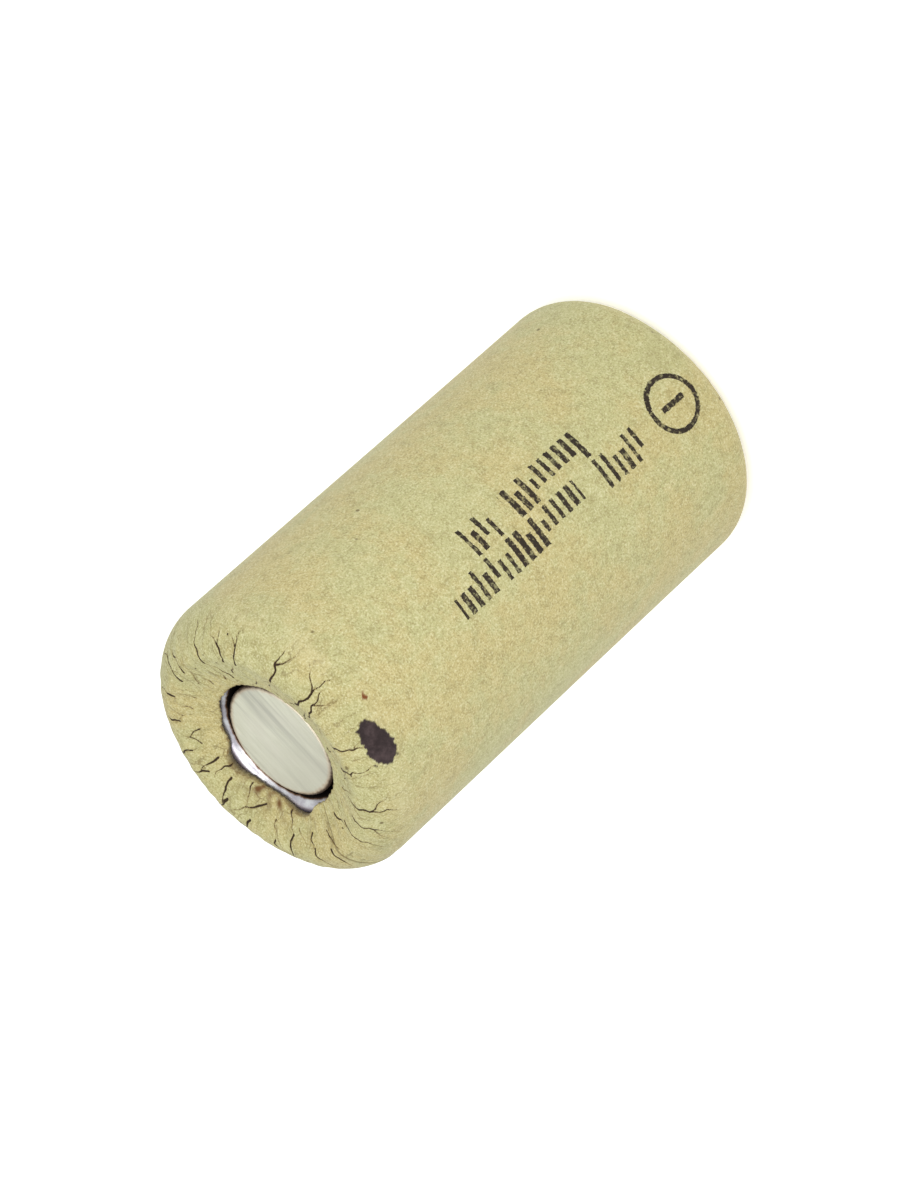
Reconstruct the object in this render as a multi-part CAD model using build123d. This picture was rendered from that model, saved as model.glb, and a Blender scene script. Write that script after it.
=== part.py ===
from build123d import *
import math
import os

# A sub-C size rechargeable cell in a folded kraft-paper sleeve, standing on its negative end.
# Units are millimetres.  +Z runs along the cell towards the positive terminal.
# The origin is the centre of the sleeve's lower end, where the cell stands.

# Sleeve
SLEEVE_R = 11.1           # outside radius
CELL_H = 43.0             # height over the folded paper ends
PAPER_T = 0.25
TOP_ROUND = 3.75          # shoulder radius at the positive end
SHOULDER_END = 66.0       # degrees from the side wall to where the crest begins
CREST_ROUND = 1.3
DISH_SLOPE = 25.0         # degrees the paper falls from the crest to its hole
TOP_HOLE_R = 5.15         # edge of the hole over the positive contact
BASE_ROUND = 2.4          # shoulder radius at the negative end
BASE_HOLE_R = 6.0
PAPER_FIT = 0.05          # sleeve to can, radially

# Steel can
CAN_T = 0.35
BOSS_R = 5.5              # embossed negative contact
BOSS_RISE = 0.15
CRIMP_END = 100.0         # degrees the rim is rolled over the gasket
BEAD_FOLD = 0.5           # outside radius of the bead's two outer folds
BEAD_GROOVE = 0.55        # radius of the groove between them

# Positive end
CONTACT_Z = 41.15         # top of the contact disc
CONTACT_R = 4.58
CONTACT_T = 0.4
CONTACT_EDGE = 0.3        # rounding of the contact disc's edge
ANNULAR_GAP = 0.3         # between the contact disc and the lid's lip
LID_LIP = 0.05            # lip above the contact disc
LID_T = 0.7
LID_R = 8.63
WELL_T = 0.5              # wall and floor of the lid's drawn well
WELL_FLOOR_Z = 38.05
WELL_CORNER = 0.15
LIP_ROUND = 1.0           # polished rounding round the mouth of the well
HEEL_ROUND = 0.3
VENT_R = 1.0
SEAT_T = 0.5
SEAT_RISE = 0.25
GASKET_BORE_R = 8.0
GASKET_LIP_R = 7.75
GASKET_END = 95.0
ASSEMBLY_GAP = 0.03

# Vent valve
SEAL_R = 2.3
SEAL_T = 0.7
SEAT_GAP = 0.02
VALVE_R = 2.7
VALVE_T = 0.35
VALVE_HUB_R = 1.2
VALVE_HUB_RISE = 0.3
SPRING_R = 1.6
SPRING_WIRE = 0.25
SPRING_TURNS = 2.75

# Electrode roll
ROLL_PITCH = 1.6
ROLL_START_R = 2.3        # middle of the positive strip where the roll begins
POSITIVE_T = 0.66
NEGATIVE_T = 0.5
SEPARATOR_T = 0.16
TAPE_T = 0.06
NEGATIVE_Z = (1.7, 33.9)
SEPARATOR_Z = (2.1, 34.5)
POSITIVE_Z = (2.5, 34.9)
TAPE_Z = (5.0, 30.0)
COLLECTOR_T = 0.2
LEAD_T = 0.15
LEAD_W = 4.0

# Derived sizes
CREST_LEAN = math.radians(SHOULDER_END)
CREST = (
    SLEEVE_R - TOP_ROUND + (TOP_ROUND - CREST_ROUND) * math.cos(CREST_LEAN),
    CELL_H - CREST_ROUND,
)
SHOULDER = (
    SLEEVE_R - TOP_ROUND,
    CREST[1] - (TOP_ROUND - CREST_ROUND) * math.sin(CREST_LEAN),
)
CREST_END = 90 + DISH_SLOPE
FOOT = (SLEEVE_R - BASE_ROUND, BASE_ROUND)
CAN_R = SLEEVE_R - PAPER_T - PAPER_FIT
CAN_INNER_R = CAN_R - CAN_T
CAN_BASE_Z = PAPER_T + PAPER_FIT
BEAD_TOP_Z = SHOULDER[1]
BEAD_H = 2 * (BEAD_FOLD + BEAD_GROOVE)
BEAD_BOTTOM_Z = BEAD_TOP_Z - BEAD_H
BEAD_CENTRE = (CAN_R - BEAD_FOLD, BEAD_TOP_Z - BEAD_H / 2)
BEAD_LEDGE_Z = BEAD_CENTRE[1] + BEAD_GROOVE + CAN_T
LID_TOP_Z = CONTACT_Z + LID_LIP
LID_UNDER_Z = LID_TOP_Z - LID_T
WELL_R = CONTACT_R + ANNULAR_GAP
WELL_UNDER_Z = WELL_FLOOR_Z - WELL_T
SEAT_Z = WELL_FLOOR_Z + SEAT_RISE
CONTACT_UNDER_Z = CONTACT_Z - CONTACT_T
SEAL_Z = SEAT_Z + SEAT_GAP
VALVE_Z = SEAL_Z + SEAL_T
VALVE_TOP_Z = VALVE_Z + VALVE_T
COLLECTOR_TOP_Z = POSITIVE_Z[1] + COLLECTOR_T
TOUCH = 1e-6


def on_circle(centre, radius, degrees):
    angle = math.radians(degrees)
    return (centre[0] + radius * math.cos(angle), centre[1] + radius * math.sin(angle))


def arc(centre, radius, start, end):
    """Start, middle and end of an arc, in degrees."""
    return [on_circle(centre, radius, a) for a in (start, (start + end) / 2, end)]


def outline(items, place):
    """Closed wire through points and arcs, joined by straight lines."""
    runs = [item if isinstance(item, list) else [item] for item in items]
    edges = []
    for run, following in zip(runs, runs[1:] + runs[:1]):
        if len(run) == 3:
            edges.append(ThreePointArc(*[place(point) for point in run]))
        if math.dist(run[-1], following[0]) > TOUCH:
            edges.append(Line(place(run[-1]), place(following[0])))
    return Wire(edges)


def turned(items):
    """Solid of revolution about Z from a section of radius, height pairs."""
    wire = outline(items, lambda p: (p[0], 0, p[1]))
    return revolve(Face(wire), Axis.Z)


def raised(items, z_range):
    """Upright solid on a flat outline of x, y pairs."""
    low, high = z_range
    wire = outline(items, lambda p: (p[0], p[1], low))
    return extrude(Face(wire), high - low, dir=(0, 0, 1))


def down_dish(point, length):
    """The point reached by going down the dished paper end from a section point."""
    slope = math.radians(DISH_SLOPE)
    return (point[0] - length * math.cos(slope), point[1] - length * math.sin(slope))


def ring(inner_r, outer_r, low, high):
    return turned([(inner_r, low), (outer_r, low), (outer_r, high), (inner_r, high)])


# ---- Sleeve and can ----

def paper_sleeve():
    """Kraft tube folded in over both ends, with a hole at each end."""
    inner_r = SLEEVE_R - PAPER_T
    crest_end = on_circle(CREST, CREST_ROUND, CREST_END)
    dish_length = (crest_end[0] - TOP_HOLE_R) / math.cos(math.radians(DISH_SLOPE))
    inner_crest_end = on_circle(CREST, CREST_ROUND - PAPER_T, CREST_END)
    return turned([
        (BASE_HOLE_R, 0),
        arc(FOOT, BASE_ROUND, -90, 0),
        arc(SHOULDER, TOP_ROUND, 0, SHOULDER_END),
        arc(CREST, CREST_ROUND, SHOULDER_END, CREST_END),
        down_dish(crest_end, dish_length),
        down_dish(inner_crest_end, dish_length),
        arc(CREST, CREST_ROUND - PAPER_T, CREST_END, SHOULDER_END),
        arc(SHOULDER, TOP_ROUND - PAPER_T, SHOULDER_END, 0),
        (inner_r, BASE_ROUND),
        arc(FOOT, BASE_ROUND - PAPER_T, 0, -90),
        (BASE_HOLE_R, PAPER_T),
    ])


def insulating_washer():
    """Dished card washer under the paper, inside the rolled rim."""
    thickness = 0.3
    width = 1.8
    face = on_circle(CREST, CREST_ROUND - PAPER_T - ASSEMBLY_GAP, CREST_END)
    back = on_circle(CREST, CREST_ROUND - PAPER_T - ASSEMBLY_GAP - thickness, CREST_END)
    return turned([face, down_dish(face, width), down_dish(back, width), back])


def steel_can():
    """Drawn can: embossed base, grooved bead under the gasket, rolled rim."""
    foot_r = BASE_ROUND - PAPER_T - PAPER_FIT
    rim_r = TOP_ROUND - PAPER_T - PAPER_FIT
    roll_r = CREST_ROUND - PAPER_T - PAPER_FIT
    boss_slope = 0.2
    fold_low = (BEAD_CENTRE[0], BEAD_BOTTOM_Z)
    fold_high = (BEAD_CENTRE[0], BEAD_TOP_Z)
    inner_base_z = CAN_BASE_Z + CAN_T
    return turned([
        (0, CAN_BASE_Z - BOSS_RISE),
        (BOSS_R, CAN_BASE_Z - BOSS_RISE),
        (BOSS_R + boss_slope, CAN_BASE_Z),
        arc(FOOT, foot_r, -90, 0),
        arc(fold_low, BEAD_FOLD, 0, 90),
        arc(BEAD_CENTRE, BEAD_GROOVE, 270, 90),
        arc(fold_high, BEAD_FOLD, -90, 0),
        arc(SHOULDER, rim_r, 0, SHOULDER_END),
        arc(CREST, roll_r, SHOULDER_END, CRIMP_END),
        arc(CREST, roll_r - CAN_T, CRIMP_END, SHOULDER_END),
        arc(SHOULDER, rim_r - CAN_T, SHOULDER_END, 0),
        arc(fold_high, BEAD_FOLD - CAN_T, 0, -90),
        arc(BEAD_CENTRE, BEAD_GROOVE + CAN_T, 90, 270),
        arc(fold_low, BEAD_FOLD - CAN_T, 90, 0),
        (CAN_INNER_R, FOOT[1]),
        arc(FOOT, foot_r - CAN_T, 0, -90),
        (FOOT[0], inner_base_z),
        (BOSS_R + boss_slope, inner_base_z),
        (BOSS_R, inner_base_z - BOSS_RISE),
        (0, inner_base_z - BOSS_RISE),
    ])


# ---- Lid ----

def gasket():
    """Nylon ring that grips the lid's edge inside the rolled rim."""
    inset = PAPER_T + PAPER_FIT + CAN_T + ASSEMBLY_GAP
    slot_r = LID_R + ASSEMBLY_GAP
    slot_low = LID_UNDER_Z - ASSEMBLY_GAP
    slot_high = LID_TOP_Z + ASSEMBLY_GAP
    lip_rise = 0.85
    bottom_z = BEAD_LEDGE_Z + ASSEMBLY_GAP
    return turned([
        (GASKET_BORE_R, bottom_z),
        (BEAD_CENTRE[0], bottom_z),
        arc(SHOULDER, TOP_ROUND - inset, 0, SHOULDER_END),
        arc(CREST, CREST_ROUND - inset, SHOULDER_END, GASKET_END),
        (GASKET_LIP_R, slot_high + lip_rise),
        (GASKET_LIP_R, slot_high),
        (slot_r, slot_high),
        (slot_r, slot_low),
        (GASKET_BORE_R, slot_low),
    ])


def lid():
    """Pressed lid: polished lip, drawn well, vent hole with a raised seat."""
    outer_r = WELL_R + WELL_T
    lip = (WELL_R + LIP_ROUND, LID_TOP_Z - LIP_ROUND)
    corner = (WELL_R - WELL_CORNER, WELL_FLOOR_Z + WELL_CORNER)
    heel = (outer_r - HEEL_ROUND, WELL_UNDER_Z + HEEL_ROUND)
    return turned([
        (VENT_R, WELL_UNDER_Z),
        arc(heel, HEEL_ROUND, -90, 0),
        (outer_r, LID_UNDER_Z),
        (LID_R, LID_UNDER_Z),
        (LID_R, LID_TOP_Z),
        arc(lip, LIP_ROUND, 90, 180),
        arc(corner, WELL_CORNER, 0, -90),
        (VENT_R + SEAT_T, WELL_FLOOR_Z),
        (VENT_R + SEAT_T, SEAT_Z),
        (VENT_R, SEAT_Z),
    ])


def contact_cap():
    """Positive contact: a flat-topped cap on a skirt with four gas windows."""
    brim_r = WELL_R - WELL_CORNER - ASSEMBLY_GAP
    inner_r = CONTACT_R - CONTACT_T
    edge = (CONTACT_R - CONTACT_EDGE, CONTACT_Z - CONTACT_EDGE)
    window_w = 2.0
    window_h = 1.0
    window_z = WELL_FLOOR_Z + 1.3
    shell = turned([
        (inner_r, WELL_FLOOR_Z),
        (brim_r, WELL_FLOOR_Z),
        (brim_r, WELL_FLOOR_Z + CONTACT_T),
        (CONTACT_R, WELL_FLOOR_Z + CONTACT_T),
        arc(edge, CONTACT_EDGE, 0, 90),
        (0, CONTACT_Z),
        (0, CONTACT_UNDER_Z),
        (inner_r, CONTACT_UNDER_Z),
    ])
    window = Pos(0, 0, window_z) * Box(3 * CONTACT_R, window_w, window_h)
    return shell - window - Rot(0, 0, 90) * window


# ---- Vent valve ----

def valve_seal():
    """Rubber pad that closes the vent hole."""
    return ring(0, SEAL_R, SEAL_Z, VALVE_Z)


def valve_disc():
    """Steel carrier: rim around the rubber pad, hub inside the spring."""
    rim_drop = 0.3
    rim_inner_r = SEAL_R + ASSEMBLY_GAP
    return turned([
        (0, VALVE_Z),
        (rim_inner_r, VALVE_Z),
        (rim_inner_r, VALVE_Z - rim_drop),
        (VALVE_R, VALVE_Z - rim_drop),
        (VALVE_R, VALVE_TOP_Z),
        (VALVE_HUB_R, VALVE_TOP_Z),
        (VALVE_HUB_R, VALVE_TOP_Z + VALVE_HUB_RISE),
        (0, VALVE_TOP_Z + VALVE_HUB_RISE),
    ])


def valve_spring():
    """Coil spring between the valve disc and the underside of the contact."""
    wire_r = SPRING_WIRE / 2
    start_z = VALVE_TOP_Z + wire_r + ASSEMBLY_GAP
    height = CONTACT_UNDER_Z - wire_r - ASSEMBLY_GAP - start_z
    coil = Helix(height / SPRING_TURNS, height, SPRING_R, center=(0, 0, start_z))
    section = Plane(origin=coil @ 0, z_dir=coil % 0) * Circle(wire_r)
    return sweep(section, path=coil, is_frenet=True)


# ---- Current path ----

def perforated_disc(radius, bore_r, low):
    """Round collector with a bore, four radial slots and rows of small holes."""
    slot_w = 0.8
    slot_start = 3.2
    slot_len = 4.4
    hole_r = 0.5
    plate = ring(bore_r, radius, low, low + COLLECTOR_T)
    cut_h = 4 * COLLECTOR_T
    slot = Pos(slot_start + slot_len / 2, 0, low) * Box(slot_len, slot_w, cut_h)
    plate -= [Rot(0, 0, turn * 90) * slot for turn in range(4)]
    holes = []
    for row_r, count in ((3.9, 8), (5.8, 12), (7.6, 16)):
        for step in range(count):
            turn = 360 * (step + 0.5) / count
            if min(turn % 90, 90 - turn % 90) * math.radians(row_r) > slot_w + hole_r:
                holes.append(Rot(0, 0, turn) * Pos(row_r, 0, low) * Cylinder(hole_r, cut_h))
    return plate - holes


def positive_collector():
    return perforated_disc(8.8, 1.8, POSITIVE_Z[1])


def negative_collector():
    """Collector with a dished centre that is welded to the can's base."""
    low = NEGATIVE_Z[0] - COLLECTOR_T
    weld_z = CAN_BASE_Z + CAN_T - BOSS_RISE
    weld_r = 1.6
    rim_r = 2.4
    dish = turned([
        (0, weld_z),
        (weld_r, weld_z),
        (rim_r, low),
        (rim_r, low + COLLECTOR_T),
        (weld_r, weld_z + COLLECTOR_T),
        (0, weld_z + COLLECTOR_T),
    ])
    return perforated_disc(9.0, rim_r, low) + dish


def positive_lead():
    """Folded ribbon from the positive collector to the underside of the lid's well."""
    low_z = COLLECTOR_TOP_Z + LEAD_T / 2
    high_z = WELL_UNDER_Z - LEAD_T / 2
    bend_r = (high_z - low_z) / 2
    bend = (3.6, (low_z + high_z) / 2)
    far_x = -5.0
    near_x = 1.5
    half = LEAD_T / 2
    wire = outline([
        (far_x, low_z - half),
        arc(bend, bend_r + half, -90, 90),
        (near_x, high_z + half),
        (near_x, high_z - half),
        arc(bend, bend_r - half, 90, -90),
        (far_x, low_z + half),
    ], lambda p: (p[0], -LEAD_W / 2, p[1]))
    return extrude(Face(wire), LEAD_W, dir=(0, 1, 0))


def upper_insulator():
    """Plastic ring that holds the roll down under the bead."""
    outer_r = CAN_INNER_R - 0.1
    wall_r = outer_r - 0.5
    bore_r = 6.9
    low = COLLECTOR_TOP_Z + ASSEMBLY_GAP
    flange_z = low + 0.6
    top_z = BEAD_CENTRE[1] - BEAD_GROOVE - CAN_T - ASSEMBLY_GAP
    return turned([
        (bore_r, low),
        (outer_r, low),
        (outer_r, top_z),
        (wall_r, top_z),
        (wall_r, flange_z),
        (bore_r, flange_z),
    ])


# ---- Electrode roll ----

def roll_centre(half_turn):
    """The roll is drawn as half turns about two centres, a quarter pitch each side."""
    side = 1 if half_turn % 2 else -1
    return (side * ROLL_PITCH / 4, 0)


def rolled_strip(start_r, thickness, half_turns, z_range):
    """One strip of the roll, from its inner end to its outer end."""
    outer = []
    inner = []
    for half_turn in range(half_turns):
        centre = roll_centre(half_turn)
        middle_r = start_r + half_turn * ROLL_PITCH / 2
        begin = 180 * (half_turn % 2)
        outer.append(arc(centre, middle_r + thickness / 2, begin, begin + 180))
        inner.append(arc(centre, middle_r - thickness / 2, begin + 180, begin))
    return raised(outer + inner[::-1], z_range)


def strip_starts():
    """Middle radius at which each strip begins, from the inside outwards."""
    order = (
        ("positive", POSITIVE_T),
        ("inner", SEPARATOR_T),
        ("negative", NEGATIVE_T),
        ("outer", SEPARATOR_T),
    )
    gap = (ROLL_PITCH - sum(thickness for _, thickness in order)) / len(order)
    starts = {}
    face_r = ROLL_START_R - POSITIVE_T / 2
    for name, thickness in order:
        starts[name] = face_r + thickness / 2
        face_r += thickness + gap
    return starts


def roll_tape(start_r, half_turn):
    """Strip of tape that holds the end of the roll."""
    face_r = start_r + half_turn * ROLL_PITCH / 2 + NEGATIVE_T / 2 + 0.02
    centre = roll_centre(half_turn)
    begin = 60
    end = 178
    return raised([
        arc(centre, face_r + TAPE_T, begin, end),
        arc(centre, face_r, end, begin),
    ], TAPE_Z)


def main():
    starts = strip_starts()
    half_turns = 9
    parts = {
        "paper_sleeve": paper_sleeve(),
        "insulating_washer": insulating_washer(),
        "steel_can": steel_can(),
        "gasket": gasket(),
        "lid": lid(),
        "contact_cap": contact_cap(),
        "valve_seal": valve_seal(),
        "valve_disc": valve_disc(),
        "valve_spring": valve_spring(),
        "positive_lead": positive_lead(),
        "positive_collector": positive_collector(),
        "upper_insulator": upper_insulator(),
        "positive_electrode": rolled_strip(starts["positive"], POSITIVE_T, half_turns, POSITIVE_Z),
        "inner_separator": rolled_strip(starts["inner"], SEPARATOR_T, half_turns, SEPARATOR_Z),
        "negative_electrode": rolled_strip(starts["negative"], NEGATIVE_T, half_turns, NEGATIVE_Z),
        "outer_separator": rolled_strip(starts["outer"], SEPARATOR_T, half_turns - 1, SEPARATOR_Z),
        "roll_tape": roll_tape(starts["negative"], half_turns - 1),
        "negative_collector": negative_collector(),
    }
    os.makedirs("parts", exist_ok=True)
    for name, shape in parts.items():
        export_step(shape, f"parts/{name}.step")


main()
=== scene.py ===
import math

import bpy
import numpy as np
from mathutils import Matrix, Vector


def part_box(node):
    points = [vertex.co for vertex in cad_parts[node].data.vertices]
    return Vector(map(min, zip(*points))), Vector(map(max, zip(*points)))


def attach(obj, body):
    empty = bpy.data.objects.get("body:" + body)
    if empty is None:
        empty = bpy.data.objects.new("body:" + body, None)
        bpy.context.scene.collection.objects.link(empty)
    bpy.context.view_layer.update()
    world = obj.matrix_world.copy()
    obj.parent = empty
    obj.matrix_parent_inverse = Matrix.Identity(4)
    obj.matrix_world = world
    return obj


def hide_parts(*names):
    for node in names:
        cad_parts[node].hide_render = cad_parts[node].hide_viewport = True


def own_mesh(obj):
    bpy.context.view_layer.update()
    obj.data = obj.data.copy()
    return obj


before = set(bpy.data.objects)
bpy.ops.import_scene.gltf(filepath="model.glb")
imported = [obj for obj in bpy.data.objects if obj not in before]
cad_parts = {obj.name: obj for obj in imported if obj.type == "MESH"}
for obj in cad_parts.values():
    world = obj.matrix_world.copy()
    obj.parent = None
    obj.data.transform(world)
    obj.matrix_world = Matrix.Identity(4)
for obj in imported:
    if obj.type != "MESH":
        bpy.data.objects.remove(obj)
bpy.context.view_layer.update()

# A sleeved round cell standing on its negative end, +Z towards the positive contact.
# Lengths are in millimetres and angles in degrees, except where a comment says otherwise.
# MM turns millimetres into Blender's metres.

MM = 0.001

# ---- Sizes taken from the frame ----

sleeve_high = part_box("paper_sleeve")[1]
SLEEVE_R = sleeve_high.x / MM
CELL_H = sleeve_high.z / MM
LID_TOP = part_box("lid")[1].z / MM
CONTACT_TOP_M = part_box("contact_cap")[1].z       # in metres

# ---- Sizes that repeat the CAD model's ----

CONTACT_R = 4.58
WELL_R = 4.88            # mouth of the lid's well
BASE_HOLE_R = 6.0
DISH_SLOPE = 25.0        # degrees the paper falls from the crest to its hole
DISH_LEN = 2.92          # length of that slope, from the even hole's edge to the crest
SHOULDER_END = 66.0      # degrees from the side wall to where the crest begins
CREST_ROUND = 1.3
TOP_ROUND = 3.75         # shoulder radius at the positive end
BASE_ROUND = 2.4         # shoulder radius at the negative end
PAPER_T = 0.25
SPRING_WIRE = 0.25       # diameter of the valve spring's wire
SPRING_TURNS = 2.75

# ---- Colours, in linear light ----

PAPER_WARM = (0.46, 0.387, 0.178)
PAPER_GREEN = (0.432, 0.411, 0.203)
PAPER_LIGHT = (0.60, 0.57, 0.36)
PAPER_DARK = (0.24, 0.195, 0.075)
FLECK_BROWN = (0.12, 0.085, 0.03)
SEAM_SHADOW = (0.1, 0.07, 0.03)
WRINKLE_BROWN = (0.16, 0.12, 0.04)
HAIRLINE_BROWN = (0.14, 0.09, 0.03)
STAIN_BROWN = (0.13, 0.06, 0.018)
CRACK_RIM = (0.19, 0.12, 0.04)
CRACK_DARK = (0.03, 0.016, 0.006)
RUST_BROWN = (0.16, 0.05, 0.015)
PRINT_INK = (0.022, 0.014, 0.008)
MARK_DARK = (0.022, 0.013, 0.014)
MARK_LIGHT = (0.06, 0.04, 0.042)

DISC_DULL = (0.655, 0.645, 0.535)
DISC_BRIGHT = (0.74, 0.73, 0.63)
DISC_CLOUD = (0.70, 0.675, 0.59)
DISC_STREAK = (0.42, 0.42, 0.37)
DISC_BAND = (0.36, 0.36, 0.32)
# Darker colour of the disc towards -X.
DISC_DARKER_SIDE = (0.50, 0.48, 0.40)
DISC_RUSTY = (0.42, 0.22, 0.10)
DISC_SCORCHED = (0.09, 0.05, 0.028)
# Painted shade on the disc's side, down in the gap round it.
DISC_SIDE_SHADE = (0.08, 0.05, 0.035)

# The lid's outer and darkest colours are painted shade: under the paper's edge, and in the well's
# mouth.
LID_SMEARED = (0.52, 0.49, 0.56)
LID_BRIGHT = (0.86, 0.86, 0.90)
LID_OUTER_SHADE = (0.34, 0.30, 0.38)
LID_BROWN = (0.22, 0.11, 0.05)
LID_GAP_SHADE = (0.014, 0.009, 0.008)

# ---- Damage to the creased end ----

CRACK_SEED = 5
SHOULDER_CRACKS = 23     # deep cracks over the crest
FORKED_SHARE = 0.5       # share of those that fork
DISH_CRACKS = 32         # shorter cracks beside the hole
WRINKLES = 70            # faint lines among them
SPECKS = 12
TEARS = ((81, 14, 0.92), (145, 13, 0.84))    # two tears: degrees round, half width, depth
EDGE_T = 0.13            # the paper is thinner where it is torn
EDGE_OVERHANG = 0.15     # how far the untorn edge reaches inside the even hole
TORN_BACK = 0.19         # how far the whole edge is worn back on the side of the tears
PRESSED_DOWN = 0.2       # how far the worn edge is bent down
DEEPEST = 0.23           # lowest the paper may lie below its even face, over the washer
INK_AT = (-115, 6.5)     # degrees round, length from the hole
RUST_AT = (-98, 7.5)

# ---- Scorch on the contact disc's edge ----

# Where it is broader: degrees round, how sharply it fades to both sides, extra width.
SCORCHED_AT = ((25, 5, 0.16), (172, 9, 0.16), (95, 1, 0.06))

# ---- Relief of the sleeve's face ----

GROOVE_DEPTH = 0.12      # of a deep crack
GROOVE_WIDTH = 0.06
GROOVE_SHADE_WIDTH = 0.085       # of the dark colour in it
LIP_RISE = 0.03          # of the paper on both sides of it
LIP_WIDTH = 0.2
WRINKLE_DEPTH = 0.02
WRINKLE_WIDTH = 0.08
WRINKLE_SHADE_WIDTH = 0.05
ROLL_DEPTH = 0.014       # slow waves of the whole tube
CRUMPLE_DEPTH = 0.014    # small waves of the creased end
FACE_SUNK = 0.04         # mean depth of the face, which leaves room for the waves
LEAST_LEFT = 0.03        # paper left under the deepest relief

# ---- Print on the wall ----

# Rows of coding bars: degrees round, then top and foot of the first group and of the second.
PRINT_ROWS = ((-83, 26, 23, 21.5, 13), (-97, 30, 16, 14, 9))
RINGED_MINUS_AT = (-95, 5)       # degrees round, height

# ---- Sleeve mesh ----

FINE = 840               # points round the creased positive end
COARSE = 210             # points round the plain wall
MIDDLE = 420             # points round the folded negative end
CREASED_LEN = 8.6        # length of section, from the hole, that is finely meshed
SEAM_ANGLE = 172.0       # where the sleeve's outer ply ends
PLY_STEP = 0.07
PLY_SLOW_WAVE = (0.22, 1.1)      # of that edge: radians per mm, degrees
PLY_QUICK_WAVE = (1.3, 0.4)
MM_PER_DEGREE = SLEEVE_R * math.pi / 180


# =====================================================================
# Camera
# =====================================================================

def make_camera():
    """Long lens that looks down on the positive end, rolled to one side."""
    elevation = math.radians(33.3)
    roll = math.radians(-132.3)
    distance = 353.3
    aside = 0.45
    above = 1.31
    forward = Vector((0, math.cos(elevation), -math.sin(elevation)))
    level_up = Vector((0, math.sin(elevation), math.cos(elevation)))
    level_right = Vector((1, 0, 0))
    right = math.cos(roll) * level_right + math.sin(roll) * level_up
    up = math.cos(roll) * level_up - math.sin(roll) * level_right
    middle = Vector((0, 0, CELL_H / 2))
    place = (middle - distance * forward - aside * right - above * up) * MM
    data = bpy.data.cameras.new("camera")
    data.lens = 150
    data.sensor_width = 36
    data.clip_start = 0.01
    data.clip_end = 20
    camera = bpy.data.objects.new("camera", data)
    turn = Matrix((right, up, -forward)).transposed().to_4x4()
    camera.matrix_world = Matrix.Translation(place) @ turn
    bpy.context.collection.objects.link(camera)
    bpy.context.scene.camera = camera


make_camera()


# =====================================================================
# Shader helper
# =====================================================================

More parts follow.
